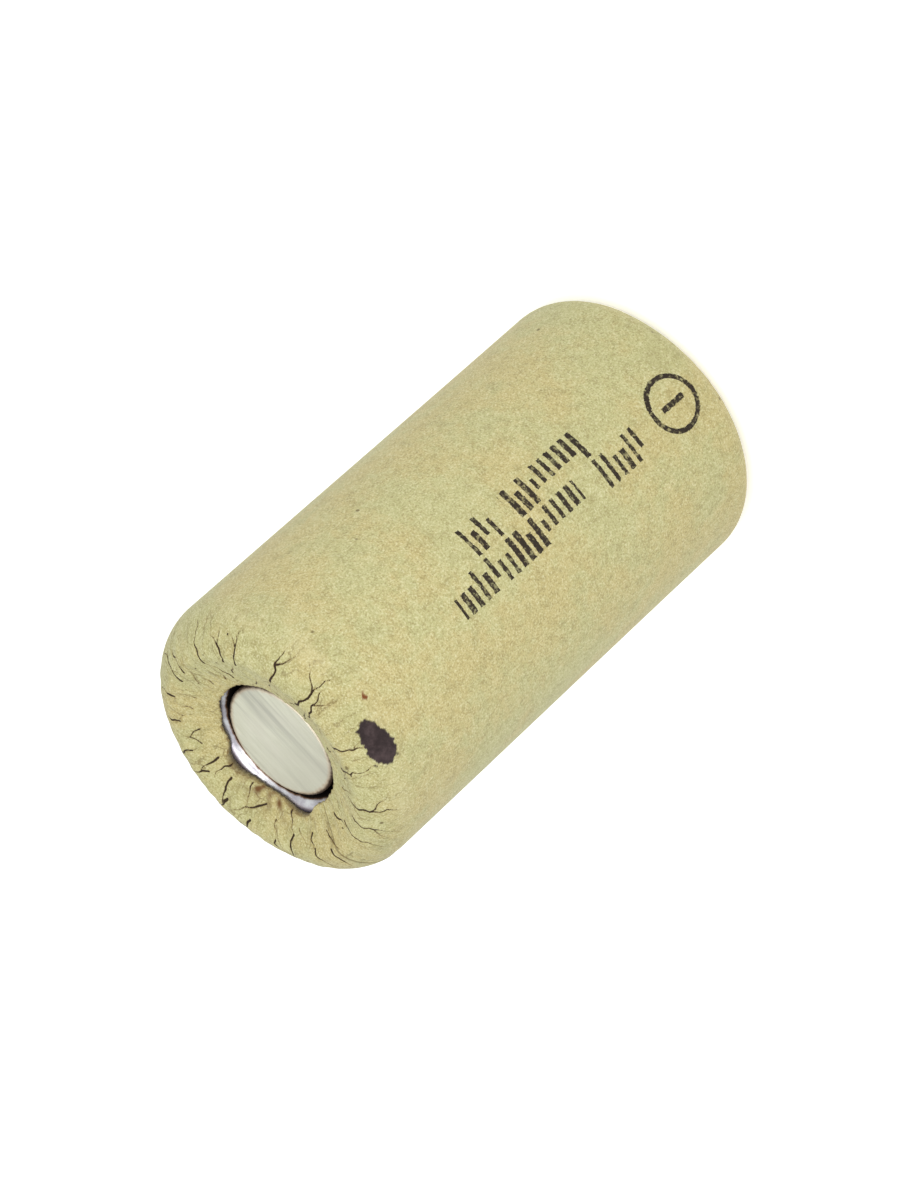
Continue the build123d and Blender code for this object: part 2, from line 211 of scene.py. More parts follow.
class Shader:
    """A node material, built up through short calls."""

    def __init__(self, name, roughness=0.5, metallic=0.0, specular=0.5):
        self.material = bpy.data.materials.new(name)
        self.material.use_nodes = True
        self.nodes = self.material.node_tree.nodes
        self.links = self.material.node_tree.links
        self.surface = self.nodes["Principled BSDF"]
        self.surface.inputs["Roughness"].default_value = roughness
        self.surface.inputs["Metallic"].default_value = metallic
        self.surface.inputs["Specular IOR Level"].default_value = specular
        self.place = self.nodes.new("ShaderNodeTexCoord").outputs["Object"]

    def feed(self, socket, value):
        if isinstance(value, bpy.types.NodeSocket):
            self.links.new(value, socket)
        elif isinstance(value, tuple) and len(value) == 3 and socket.type == "RGBA":
            socket.default_value = (*value, 1.0)
        else:
            socket.default_value = value

    def node(self, kind, output, inputs, **settings):
        made = self.nodes.new(kind)
        for name, value in settings.items():
            setattr(made, name, value)
        for socket, value in inputs.items():
            self.feed(made.inputs[socket], value)
        return made.outputs[output]

    def math(self, operation, a, b=0.0, c=0.0):
        return self.node("ShaderNodeMath", 0, {0: a, 1: b, 2: c}, operation=operation)

    def add(self, a, b):
        return self.math("ADD", a, b)

    def times(self, a, b):
        return self.math("MULTIPLY", a, b)

    def less(self, a, b):
        return self.math("LESS_THAN", a, b)

    def more(self, a, b):
        return self.math("GREATER_THAN", a, b)

    def unsigned(self, a):
        return self.math("ABSOLUTE", a)

    def distance(self, a, b):
        """How far the point (a, b) is from the middle."""
        squares = self.add(self.math("POWER", a, 2), self.math("POWER", b, 2))
        return self.math("SQRT", squares)

    def ramp(self, value, low, high, start=0.0, end=1.0):
        """value mapped smoothly from low..high to start..end."""
        inputs = {"Value": value, 1: low, 2: high, 3: start, 4: end}
        return self.node("ShaderNodeMapRange", 0, inputs, interpolation_type="SMOOTHSTEP")

    def stretch(self, scale, degrees=0.0):
        """The place turned round Z and scaled, which draws a texture out where scale is small."""
        inputs = {
            "Vector": self.place,
            "Rotation": (0, 0, math.radians(degrees)),
            "Scale": scale,
        }
        return self.node("ShaderNodeMapping", 0, inputs)

    def noise(self, scale, detail=3.0, roughness=0.55, place=None, distortion=0.0):
        inputs = {
            "Vector": place or self.place,
            "Scale": scale,
            "Detail": detail,
            "Roughness": roughness,
            "Distortion": distortion,
        }
        return self.node("ShaderNodeTexNoise", 0, inputs)

    def jitter(self, scale, reach, detail=4, roughness=0.55):
        """Noise on both sides of 0, reach from its lowest to its highest."""
        return self.times(self.add(self.noise(scale, detail, roughness), -0.5), reach)

    def cells(self, scale, output="Distance"):
        return self.node("ShaderNodeTexVoronoi", output, {"Vector": self.place, "Scale": scale})

    def blend(self, amount, below, above):
        """The colour above laid over the colour below; 6 and 7 are the node's colour sockets."""
        return self.node("ShaderNodeMix", 2, {0: amount, 6: below, 7: above}, data_type="RGBA")

    def painted(self, name):
        """A value painted on the mesh's points."""
        return self.node("ShaderNodeAttribute", "Fac", {}, attribute_name=name)

    def xyz(self):
        made = self.nodes.new("ShaderNodeSeparateXYZ")
        self.links.new(self.place, made.inputs[0])
        return made.outputs

    def bump(self, height, distance, below=None):
        inputs = {"Height": height, "Distance": distance, "Strength": 1.0}
        if below is not None:
            inputs["Normal"] = below
        return self.node("ShaderNodeBump", 0, inputs)

    def finish(self, color, roughness=None, normal=None):
        self.feed(self.surface.inputs["Base Color"], color)
        if roughness is not None:
            self.feed(self.surface.inputs["Roughness"], roughness)
        if normal is not None:
            self.feed(self.surface.inputs["Normal"], normal)
        return self.material


# =====================================================================
# The paper sleeve
# =====================================================================

def section_table():
    """The sleeve's section against length from the even hole's edge.

    Gives radius, height, lean of the normal, and the lengths at which the stretches meet.
    """
    lead_in = 2.0
    step = 0.005
    curved_drop = (
        CREST_ROUND * (1 - math.sin(math.radians(SHOULDER_END)))
        + TOP_ROUND * math.sin(math.radians(SHOULDER_END))
    )
    lengths = [
        DISH_LEN,
        CREST_ROUND * math.radians(90 + DISH_SLOPE - SHOULDER_END),
        TOP_ROUND * math.radians(SHOULDER_END),
        CELL_H - curved_drop - BASE_ROUND,
        BASE_ROUND * math.pi / 2,
        SLEEVE_R - BASE_ROUND - BASE_HOLE_R,
    ]
    leans = np.radians([90 + DISH_SLOPE, 90 + DISH_SLOPE, SHOULDER_END, 0, 0, -90, -90])
    marks = np.concatenate([[0], np.cumsum(lengths)])
    along = np.arange(-lead_in, marks[-1] + step, step)
    lean = np.interp(along, marks, leans)
    radius = np.cumsum(np.sin(lean)) * step
    height = -np.cumsum(np.cos(lean)) * step
    radius += SLEEVE_R - radius.max()
    height += CELL_H - height.max()
    return along, radius, height, lean, marks


ALONG, RADIUS, HEIGHT, LEAN, MARKS = section_table()
CREST_AT = MARKS[1]      # length at which the crest begins
WALL_AT = MARKS[3]       # the side wall
FOOT_AT = MARKS[4]       # the rounding of the negative end
BASE_AT = MARKS[5]       # its flat folded paper
SLEEVE_LEN = MARKS[-1]
SHOULDER_Z = BASE_ROUND + FOOT_AT - WALL_AT      # height of the wall's upper end


def radius_at(along):
    """Radius of the sleeve's even face at a length along its section."""
    return np.interp(along, ALONG, RADIUS)


def smooth(low, high, value):
    """A smooth step from 0 at low to 1 at high; low may be the greater of the two."""
    t = np.clip((value - low) / (high - low), 0, 1)
    return t * t * (3 - 2 * t)


def angle_gap(angle, centre):
    """Signed difference of two angles, from -180 to 180."""
    return (angle - centre + 180) % 360 - 180


def waves(angle, along, seed, turns, pitch, count=14):
    """Seamless random waves: turns is the range of waves round, pitch of those per mm along."""
    rng = np.random.default_rng(seed)
    total = np.zeros(np.broadcast(angle, along).shape)
    for _ in range(count):
        around = rng.integers(turns[0], turns[1] + 1)
        rate = rng.uniform(-pitch, pitch) * 2 * math.pi
        phase = rng.uniform(0, 2 * math.pi)
        total += np.sin(np.radians(angle) * around + along * rate + phase)
    return total / math.sqrt(count / 2)


def torn_line(rng, angle, start, length, lean, wander):
    """Corners of a ragged line that runs outwards: degrees round, length from the hole.

    lean is the sideways run per mm. wander sets the zigzag and the random part of each sidestep.
    """
    step = 0.42
    count = max(3, round(length / step) + 1)
    along = start + np.linspace(0, length, count)
    zigzag = wander * (-1.0) ** np.arange(count)
    sideways = np.cumsum(rng.normal(lean * step, wander, count) + zigzag)
    around = angle + np.degrees((sideways - sideways[0]) / radius_at(along))
    return list(zip(around.tolist(), along.tolist()))


def shoulder_cracks():
    """Deep seeded cracks over the crest, each fading outwards, some of them forked."""
    rng = np.random.default_rng(CRACK_SEED)
    spacing = 360 / SHOULDER_CRACKS
    lines = []
    for index in range(SHOULDER_CRACKS):
        angle = spacing * (index + rng.uniform(-0.3, 0.3))
        start = rng.uniform(2.0, 3.2)
        end = rng.uniform(5.0, 6.8)
        lean = rng.uniform(-0.25, 0.25)
        strength = rng.uniform(0.75, 1.1)
        crack = torn_line(rng, angle, start, end - start, lean, 0.09)
        lines.append((strength, crack))
        lines.append((0.35, torn_line(rng, *crack[-1], rng.uniform(0.4, 1.0), lean, 0.1)))
        if rng.random() < FORKED_SHARE:
            side = rng.choice((-0.9, 0.9))
            fork = torn_line(rng, *crack[len(crack) // 2], rng.uniform(0.9, 1.7), side, 0.1)
            lines.append((0.6 * strength, fork))
    return lines


def dish_cracks():
    """Shorter seeded cracks in the dish beside the hole, that run partly round it."""
    rng = np.random.default_rng(CRACK_SEED + 1)
    lines = []
    for index in range(DISH_CRACKS):
        angle = 360 / DISH_CRACKS * (index + rng.uniform(-0.4, 0.4))
        start = rng.uniform(0.3, 1.9)
        lean = rng.uniform(-0.9, 0.9)
        crack = torn_line(rng, angle, start, rng.uniform(1.2, 2.8), lean, 0.09)
        lines.append((rng.uniform(0.42, 0.82), crack))
    return lines


def faint_wrinkles():
    """Fine seeded lines among the cracks, each with its strength and its corners."""
    rng = np.random.default_rng(CRACK_SEED + 2)
    lines = []
    for _ in range(WRINKLES):
        angle = rng.uniform(-180, 180)
        start = rng.uniform(0.3, 5.0)
        lean = rng.uniform(-0.5, 0.5)
        line = torn_line(rng, angle, start, rng.uniform(0.8, 2.4), lean, 0.12)
        lines.append((rng.uniform(0.3, 1.0), line))
    return lines


def line_depth(angle, along, lines, width):
    """How strongly each point lies in one of the lines, from 0 to about 1."""
    depth = np.zeros(angle.shape)
    radius = radius_at(along)
    margin = 4 * width
    for strength, corners in lines:
        last = len(corners) - 1
        ends = [corner[1] for corner in corners]
        if min(ends) - margin > along.max() or max(ends) + margin < along.min():
            continue
        for index in range(last):
            (angle_a, along_a), (angle_b, along_b) = corners[index:index + 2]
            across_a = np.radians(angle_gap(angle, angle_a)) * radius
            along_from = along - along_a
            run_across = math.radians(angle_gap(angle_b, angle_a)) * radius
            run_along = along_b - along_a
            run_squared = run_across ** 2 + run_along ** 2
            part = np.clip((across_a * run_across + along_from * run_along) / run_squared, 0, 1)
            away = np.hypot(across_a - part * run_across, along_from - part * run_along)
            reach = (index + part) / last
            taper = 1.05 - 0.5 * reach
            line = strength * taper * np.exp(-(away / (width * taper)) ** 2)
            depth = np.maximum(depth, line)
    return depth


def torn_side(angle):
    """1 on the half of the hole that has the tears, 0 on the other."""
    return smooth(0.15, 0.95, np.sin(np.radians(angle - 12)))


def hole_edge(angle):
    """How far the torn edge lies outside the hole's even circle."""
    flat = np.zeros_like(angle)
    edge = 0.05 * waves(angle, flat, 3, (4, 14), 0) + 0.02 * waves(angle, flat, 4, (30, 90), 0)
    edge += TORN_BACK * torn_side(angle)
    for centre, half_width, depth in TEARS:
        edge += depth * np.exp(-np.abs(angle_gap(angle, centre) / half_width) ** 2.6)
    return edge - EDGE_OVERHANG


def droop(angle, along):
    """Paper bent down towards the lid beside the worn part of the hole."""
    from_edge = along - hole_edge(angle)
    return PRESSED_DOWN * torn_side(angle) * smooth(1.8, 0.0, from_edge)


def turned_in(angle):
    """Depth of the hole's edge: the torn paper's own, or on the torn side down to the lid."""
    clearance = 0.02
    edge = np.interp(hole_edge(angle), ALONG, HEIGHT) - droop(angle, hole_edge(angle))
    to_lid = np.clip(edge - LID_TOP - clearance, EDGE_T, None)
    return EDGE_T + torn_side(angle) * (to_lid - EDGE_T)


def creases(angle, along):
    """Soft folds where the paper is gathered over the positive end."""
    half_folds = 13          # half the number of folds round the end
    fold_depth = 0.045
    uneven = 0.02
    gather = smooth(7.6, 1.0, along)
    drift = 5 * waves(angle, along, 12, (3, 9), 0.08)
    fold = np.abs(np.sin(np.radians(angle + drift) * half_folds)) ** 0.7
    return gather * (fold_depth * (fold - 1) + uneven * waves(angle, along, 13, (8, 30), 0.35))


def base_folds(angle, along):
    """Pleats of the folded negative end, deepest at the hole."""
    pleat_degrees = 15
    pleat_depth = 0.12
    gather = smooth(FOOT_AT + 0.4, SLEEVE_LEN, along)
    twist = 5 * (along - FOOT_AT)
    uneven = 3 * waves(angle, along * 0, 21, (2, 7), 0)
    saw = ((angle + twist + uneven) / pleat_degrees) % 1.0
    return -pleat_depth * gather * saw


def ply_edge(angle, along):
    """Step down where the tube's outer ply ends; over 70 degrees the face rises to it."""
    edge = SEAM_ANGLE
    for rate, reach in (PLY_SLOW_WAVE, PLY_QUICK_WAVE):
        edge = edge + reach * np.sin(along * rate)
    gap = angle_gap(angle, edge)
    return -PLY_STEP * np.where(gap < 0, smooth(0, -70, gap), 1 - smooth(0.9, 0.0, gap))


DEEP_LINES = shoulder_cracks() + dish_cracks()
FAINT_LINES = faint_wrinkles()


def relief(angle, along):
    """Offset of the sleeve's face from its even shape: 0 or below."""
    place = shaken(angle, along)
    gather = smooth(7.8, 4.5, along)
    roll = ROLL_DEPTH * waves(angle, along, 31, (2, 6), 0.03)
    crumple = CRUMPLE_DEPTH * gather * waves(angle, along, 33, (18, 60), 0.45, count=18)
    groove = GROOVE_DEPTH * line_depth(*place, DEEP_LINES, GROOVE_WIDTH)
    lips = LIP_RISE * line_depth(*place, DEEP_LINES, LIP_WIDTH)
    faint = WRINKLE_DEPTH * line_depth(*place, FAINT_LINES, WRINKLE_WIDTH)
    depth = roll + crumple + creases(angle, along) + base_folds(angle, along)
    depth += ply_edge(angle, along) + lips - groove - faint - FACE_SUNK
    thin = EDGE_T - LEAST_LEFT
    thick = PAPER_T - LEAST_LEFT
    deepest = thin + (thick - thin) * np.clip(along - hole_edge(angle), 0, 1)
    return np.clip(depth, -deepest, 0)


def shaken(angle, along):
    """Places shifted slightly, so that lines drawn on them look torn."""
    across = 0.3 * waves(angle, along, 41, (15, 50), 0.9, count=10)
    down = 0.03 * waves(angle, along, 42, (15, 50), 0.9, count=10)
    return angle + across, along + down


def sleeve_ring(count, along, drop):
    """One ring of points: places, angles and lengths along the section.

    drop is 0 on the outer face, EDGE_T at the torn edge and PAPER_T on the inner face.
    """
    angle = np.arange(count) * 360 / count
    length = along + hole_edge(angle) * smooth(3.2, 0.0, along)
    lean = np.interp(length, ALONG, LEAN)
    depth = np.full(count, -drop)
    if drop == 0:
        depth = np.maximum(relief(angle, length), droop(angle, length) - DEEPEST)
    if drop == EDGE_T:
        depth = -turned_in(angle)
        lean = np.full(count, math.pi / 2)
    radius = radius_at(length) + depth * np.cos(lean)
    height = np.interp(length, ALONG, HEIGHT) + depth * np.sin(lean) - droop(angle, length)
    turn = np.radians(angle)
    places = np.stack([radius * np.cos(turn), radius * np.sin(turn), height], 1)
    return places, angle, length


def span(index, ratio):
    """Numbers of the points that one face takes from a ring, ratio edges of it."""
    return range(index * ratio, (index + 1) * ratio + 1)


def ring_faces(first, count, second, other):
    """Faces between two rings of points; one count is a whole multiple of the other."""
    faces = []
    small = min(count, other)
    for index in range(small):
        faces.append(
            [first + k % count for k in span(index, count // small)]
            + [second + k % other for k in reversed(span(index, other // small))]
        )
    return faces


def sleeve_rings():
    """Rings of the outer face, from the torn hole to the base hole, then back inside."""
    near = np.concatenate([
        np.arange(0, 0.4, 0.05), np.arange(0.4, 7.8, 0.092), np.arange(7.8, CREASED_LEN, 0.2)
    ])
    wall = np.arange(CREASED_LEN + 0.4, FOOT_AT - 0.2, 1.35)
    far = np.linspace(FOOT_AT, SLEEVE_LEN, 20)
    rings = [(FINE, s, 0.0) for s in near]
    rings += [(COARSE, s, 0.0) for s in wall]
    rings += [(MIDDLE, s, 0.0) for s in far]
    rings.append((MIDDLE, SLEEVE_LEN, PAPER_T))
    rings.append((MIDDLE, BASE_AT, PAPER_T))
    rings += [(COARSE, s, PAPER_T) for s in np.linspace(FOOT_AT + 1, FOOT_AT, 3)]
    rings += [(COARSE, s, PAPER_T) for s in np.linspace(WALL_AT, CREST_AT, 9)]
    rings += [(FINE, CREST_AT - 0.5, PAPER_T), (FINE, 1.0, PAPER_T), (FINE, 0.0, EDGE_T)]
    return rings


def mesh_object(name, places, faces, values=None):
    """A smooth-shaded mesh, from places in mm, with values painted on its points."""
    mesh = bpy.data.meshes.new(name)
    mesh.from_pydata((np.asarray(places) * MM).tolist(), [], faces)
    for key, column in (values or {}).items():
        layer = mesh.attributes.new(key, "FLOAT", "POINT")
        layer.data.foreach_set("value", np.asarray(column, dtype=np.float32))
    mesh.polygons.foreach_set("use_smooth", [True] * len(mesh.polygons))
    mesh.update()
    made = bpy.data.objects.new(name, mesh)
    bpy.context.collection.objects.link(made)
    return made


def ink_blob(angle, along):
    """A hand-made ink mark on the shoulder: egg-shaped, with a ragged edge."""
    half_width = 1.8
    across = np.radians(angle_gap(angle, INK_AT[0])) * radius_at(along) / half_width
    ragged = 0.05 * waves(angle, along, 51, (25, 110), 1.8, count=18)
    ragged += 0.04 * waves(angle, along, 53, (90, 200), 3.2, count=18)
    down = (along - INK_AT[1] + 0.2 * across) / (1.0 - 0.22 * across)
    size = (np.abs(across) ** 2.4 + np.abs(down) ** 2.4) ** (1 / 2.4)
    return 1 - smooth(0.96, 1.04, size + ragged)


def rust_spot(angle, along):
    """A small rusty spot beside the ink mark."""
    half_width = 0.3
    half_length = 0.2
    across = np.radians(angle_gap(angle, RUST_AT[0])) * radius_at(along)
    ragged = 0.2 * waves(angle, along, 52, (60, 160), 2.0)
    size = np.hypot(across / half_width, (along - RUST_AT[1]) / half_length)
    return 1 - smooth(0.6, 1.1, size + ragged)


def speck_spots(angle, along):
    """Small dark flecks pressed into the paper, scattered by seed over the creased end."""
    rng = np.random.default_rng(CRACK_SEED + 3)
    spots = np.zeros_like(angle)
    for _ in range(SPECKS):
        across = np.radians(angle_gap(angle, rng.uniform(-180, 180))) * radius_at(along)
        down = along - rng.uniform(1.0, 8.0)
        size = rng.uniform(0.05, 0.1)
        spots = np.maximum(spots, np.exp(-(np.hypot(across, down) / size) ** 4))
    return spots


def brown_stain(angle, along):
    """Old flux and rust along the torn edge, widest on the tag between the two tears."""
    from_edge = np.clip(along - hole_edge(angle), 0, None)
    patchy = 0.5 + 0.5 * waves(angle, along, 61, (8, 40), 0.8)
    (first, _, _), (second, _, _) = TEARS
    tag = (first + second) / 2
    rim = np.exp(-from_edge / 0.06) * (0.25 + 0.4 * patchy)
    torn = 0.55 * np.exp(-(angle_gap(angle, tag) / 55) ** 4) * np.exp(-from_edge / 0.1)
    spread = np.exp(-(angle_gap(angle, tag) / 22) ** 4) * np.exp(-(from_edge / 1.1) ** 2)
    spread = spread * patchy
    return np.clip(np.maximum(np.maximum(rim, torn), 0.9 * spread), 0, 1)


def painted_values(angle, along, drop):
    """Values painted on one ring of points: none inside, but a stain on the turned-in edge."""
    names = ("crack", "wrinkle", "ink", "rust", "stain", "crumple")
    if drop > 0:
        blank = {name: np.zeros_like(angle) for name in names}
        if drop == EDGE_T:
            blank["stain"] += 0.35
        return blank
    place = shaken(angle, along)
    values = (
        np.maximum(
            line_depth(*place, DEEP_LINES, GROOVE_SHADE_WIDTH), speck_spots(angle, along)
        ),
        line_depth(*place, FAINT_LINES, WRINKLE_SHADE_WIDTH),
        ink_blob(angle, along),
        rust_spot(angle, along),
        brown_stain(angle, along) * (along < CREASED_LEN),
        smooth(8.2, 5.5, along),
    )
    return dict(zip(names, values))


def build_sleeve():
    """The whole kraft sleeve as one closed sheet, with its creases, cracks and torn hole."""
    rings = sleeve_rings()
    places = []
    painted = []
    starts = []
    total = 0
    for count, along, drop in rings:
        ring, angle, length = sleeve_ring(count, along, drop)
        places.append(ring)
        painted.append(painted_values(angle, length, drop))
        starts.append(total)
        total += count
    faces = []
    for index, ring in enumerate(rings):
        following = (index + 1) % len(rings)
        faces += ring_faces(starts[index], ring[0], starts[following], rings[following][0])
    values = {name: np.concatenate([ring[name] for ring in painted]) for name in painted[0]}
    return mesh_object("kraft_sleeve", np.concatenate(places), faces, values)


def coding_bars(shader, up, height, seed):
    """Mask of a row of bars of uneven width, some of them cut short at the top or the foot."""
    pitch = 0.82
    half_up = 1.2
    short_by = 0.75
    tall_share = 0.68
    step = shader.times(height, 1 / pitch)
    inside = shader.unsigned(shader.add(shader.math("FRACT", step), -0.5))
    bar_seed = shader.add(shader.math("FLOOR", step), seed)
    pick = shader.node("ShaderNodeTexWhiteNoise", 0, {"W": bar_seed}, noise_dimensions="1D")
    width = shader.ramp(pick, 0.0, 1.0, 0.21, 0.32)
    short_top = shader.more(shader.math("FRACT", shader.times(pick, 7.0)), tall_share)
    short_low = shader.more(shader.math("FRACT", shader.times(pick, 13.0)), tall_share)
    top = shader.add(shader.times(short_top, -short_by), half_up)
    low = shader.add(shader.times(short_low, short_by), -half_up)
    mask = shader.less(inside, width)
    mask = shader.times(mask, shader.less(up, top))
    return shader.times(mask, shader.more(up, low))


def ringed_minus(shader, across, down):
    """Mask of a minus bar in a ring."""
    ring_r = 2.1
    half_stroke = 0.2
    half_len = 1.15
    half_width = 0.22
    from_ring = shader.unsigned(shader.add(shader.distance(across, down), -ring_r))
    ring = shader.less(from_ring, half_stroke)
    minus = shader.less(shader.unsigned(down), half_len)
    minus = shader.times(minus, shader.less(shader.unsigned(across), half_width))
    return shader.math("MAXIMUM", ring, minus)


def printed_marks(shader, angle, height):
    """Worn ink mask: two rows of coding bars, and a ringed minus bar near the base."""
    warp = shader.jitter(3600, 0.3, roughness=0.7)
    masks = []
    for centre, top_a, foot_a, top_b, foot_b in PRINT_ROWS:
        up = shader.add(shader.times(shader.add(angle, -centre), MM_PER_DEGREE), warp)
        bars = coding_bars(shader, up, shader.add(height, warp), centre / 7)
        for top, foot in ((top_a, foot_a), (top_b, foot_b)):
            group = shader.less(height, top)
            group = shader.times(group, shader.more(height, foot))
            masks.append(shader.times(bars, group))
    minus_angle, minus_height = RINGED_MINUS_AT
    across = shader.times(shader.add(angle, -minus_angle), MM_PER_DEGREE)
    down = shader.add(height, -minus_height)
    total = ringed_minus(shader, shader.add(across, warp), shader.add(down, warp))
    for mask in masks:
        total = shader.math("MAXIMUM", total, mask)
    worn = shader.ramp(shader.noise(3000, detail=4, roughness=0.7), 0.34, 0.5, 0.45, 1.0)
    return shader.times(total, worn)


def seam_line(shader, angle, height):
    """Thin shadow beside the end of the sleeve's outer ply."""
    along = shader.add(shader.times(height, -1), WALL_AT + SHOULDER_Z)
    swings = []
    for rate, reach in (PLY_SLOW_WAVE, PLY_QUICK_WAVE):
        swings.append(shader.times(shader.math("SINE", shader.times(along, rate)), reach))
    edge = shader.add(shader.add(*swings), SEAM_ANGLE)
    away = shader.unsigned(shader.add(angle, shader.times(edge, -1)))
    return shader.ramp(away, 0.55, 0.2)


def hairlines(shader, x, y):
    """Fine crackle of the creased end: an angular net, drawn out away from the hole."""
    away = shader.distance(x, y)
    girth = 8 * MM
    shake = 0.5 * MM
    drawn_out = 0.45
    parts = []
    for part, grain in ((x, 2100), (y, 2400)):
        shaken_by = shader.jitter(grain, shake, roughness=0.65)
        around = shader.times(shader.math("DIVIDE", part, away), girth)
        parts.append(shader.add(around, shaken_by))
    parts.append(shader.times(away, drawn_out))
    net = shader.node("ShaderNodeCombineXYZ", 0, dict(enumerate(parts)))
    edge = shader.node(
        "ShaderNodeTexVoronoi", "Distance", {"Vector": net, "Scale": 780},
        feature="DISTANCE_TO_EDGE",
    )
    shown = shader.ramp(shader.noise(600, detail=3), 0.46, 0.56)
    line = shader.times(shader.ramp(edge, 0.035, 0.01), shown)
    return shader.times(line, shader.painted("crumple"))


def pulp(shader, mottle, grains, upright, level):
    """Colour of the bare paper: slow clouds, mottle, grain, short fibres, and lighter places along
    the shoulder, partly rubbed paper and partly a painted highlight of the crest.
    """
    clouds = shader.noise(130, detail=5, roughness=0.75)
    color = shader.blend(shader.ramp(clouds, 0.4, 0.6), PAPER_WARM, PAPER_GREEN)
    color = shader.blend(shader.ramp(mottle, 0.52, 0.3, 0.0, 0.4), color, PAPER_DARK)
    color = shader.blend(shader.ramp(mottle, 0.5, 0.72, 0.0, 0.25), color, PAPER_LIGHT)
    color = shader.blend(shader.ramp(grains, 0.5, 0.68, 0.0, 0.8), color, PAPER_LIGHT)
    color = shader.blend(shader.ramp(grains, 0.5, 0.32, 0.0, 0.7), color, PAPER_DARK)
    color = shader.blend(shader.ramp(upright, 0.6, 0.75, 0.0, 0.3), color, PAPER_DARK)
    color = shader.blend(shader.ramp(level, 0.58, 0.75, 0.0, 0.3), color, PAPER_LIGHT)
    smudges = shader.noise(260, detail=5, roughness=0.7)
    color = shader.blend(shader.ramp(smudges, 0.56, 0.72, 0.0, 0.22), color, PAPER_DARK)
    # Lighter patches along the shoulder's crest: partly rubbed paper, partly a painted highlight.
    crumple = shader.painted("crumple")
    shoulder = shader.times(crumple, shader.add(1.0, shader.times(crumple, -1.0)))
    rubbed_and_highlight = shader.times(shoulder, shader.ramp(smudges, 0.52, 0.4, 0.0, 0.9))
    return shader.blend(rubbed_and_highlight, color, PAPER_LIGHT)


def damage(shader, color, x, y):
    """The paper's colour with its wrinkles, hairlines, stain, cracks and rust spot laid over it."""
    color = shader.blend(shader.times(shader.painted("wrinkle"), 0.4), color, WRINKLE_BROWN)
    color = shader.blend(shader.times(hairlines(shader, x, y), 0.5), color, HAIRLINE_BROWN)
    color = shader.blend(shader.painted("stain"), color, STAIN_BROWN)
    ragged = shader.jitter(5200, 0.5, detail=3, roughness=0.7)
    crack = shader.add(shader.painted("crack"), ragged)
    color = shader.blend(shader.ramp(crack, 0.16, 0.42, 0.0, 0.6), color, CRACK_RIM)
    color = shader.blend(shader.ramp(crack, 0.36, 0.5), color, CRACK_DARK)
    return shader.blend(shader.painted("rust"), color, RUST_BROWN)


def kraft_paper():
    """Greenish-tan unbleached paper: mottled pulp, short fibres, specks, ink and cracks."""
    shader = Shader("kraft_paper", roughness=0.82, specular=0.2)
    shader.surface.inputs["Sheen Weight"].default_value = 0.1
    shader.surface.inputs["Sheen Roughness"].default_value = 0.5
    x, y, z = shader.xyz()
    angle = shader.times(shader.math("ARCTAN2", y, x), 180 / math.pi)
    height = shader.times(z, 1 / MM)
    mottle = shader.noise(1100, detail=4, roughness=0.7)
    grains = shader.noise(7500, detail=3, roughness=0.7)
    upright = shader.noise(4200, place=shader.stretch((1.0, 1.0, 0.16)), distortion=0.6)
    level = shader.noise(4600, place=shader.stretch((0.22, 0.22, 1.2)), distortion=0.6)
    color = pulp(shader, mottle, grains, upright, level)
    rare = shader.ramp(shader.cells(700, "Color"), 0.78, 0.82)
    flecks = shader.times(shader.ramp(shader.cells(700), 0.14, 0.07), rare)
    color = shader.blend(shader.times(flecks, 0.8), color, FLECK_BROWN)
    seam = shader.times(seam_line(shader, angle, height), 0.6)
    color = shader.blend(seam, color, SEAM_SHADOW)
    color = damage(shader, color, x, y)
    color = shader.blend(printed_marks(shader, angle, height), color, PRINT_INK)
    mark_color = shader.blend(shader.ramp(mottle, 0.35, 0.7), MARK_DARK, MARK_LIGHT)
    color = shader.blend(shader.painted("ink"), color, mark_color)
    rough = shader.ramp(mottle, 0.3, 0.75, 0.7, 0.85)
    folds = shader.noise(520, detail=4, roughness=0.65, distortion=1.2)
    folds = shader.times(folds, shader.painted("crumple"))
    fold_bump = shader.bump(folds, 0.07 * MM)
    grain_bump = shader.bump(grains, 0.012 * MM, below=fold_bump)
    fibre_bump = shader.bump(shader.add(upright, level), 0.01 * MM, below=grain_bump)
    return shader.finish(color, rough, fibre_bump)


# =====================================================================
# The valve spring
# =====================================================================

def build_spring():
    """Coil spring between the valve disc and the contact, swept from its box in the frame."""
    low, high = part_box("valve_spring")
    wire_r = SPRING_WIRE / 2
    coil_r = high.x / MM - wire_r
    steps = 160
    sides = 16
    turn = np.linspace(0, 2 * math.pi * SPRING_TURNS, steps + 1)[:, None]
    rise = np.linspace(low.z / MM + wire_r, high.z / MM - wire_r, steps + 1)[:, None]
    around = np.arange(sides) * 2 * math.pi / sides
    radius = coil_r + wire_r * np.cos(around)
    height = rise + wire_r * np.sin(around)
    places = np.stack([radius * np.cos(turn), radius * np.sin(turn), height], 2).reshape(-1, 3)
    faces = [list(range(sides)), list(range(steps * sides, (steps + 1) * sides))[::-1]]
    for step in range(steps):
        first = step * sides
        for side in range(sides):
            after = (side + 1) % sides
            next_ring = first + sides
            faces.append([first + side, next_ring + side, next_ring + after, first + after])
    return mesh_object("coil_spring", places, faces)


def shorten_with_valve(spring):
    """Gives the spring its own copy of its mesh."""
    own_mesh(spring)


# =====================================================================
# Metal, plastic and the other materials of the CAD nodes
# =====================================================================

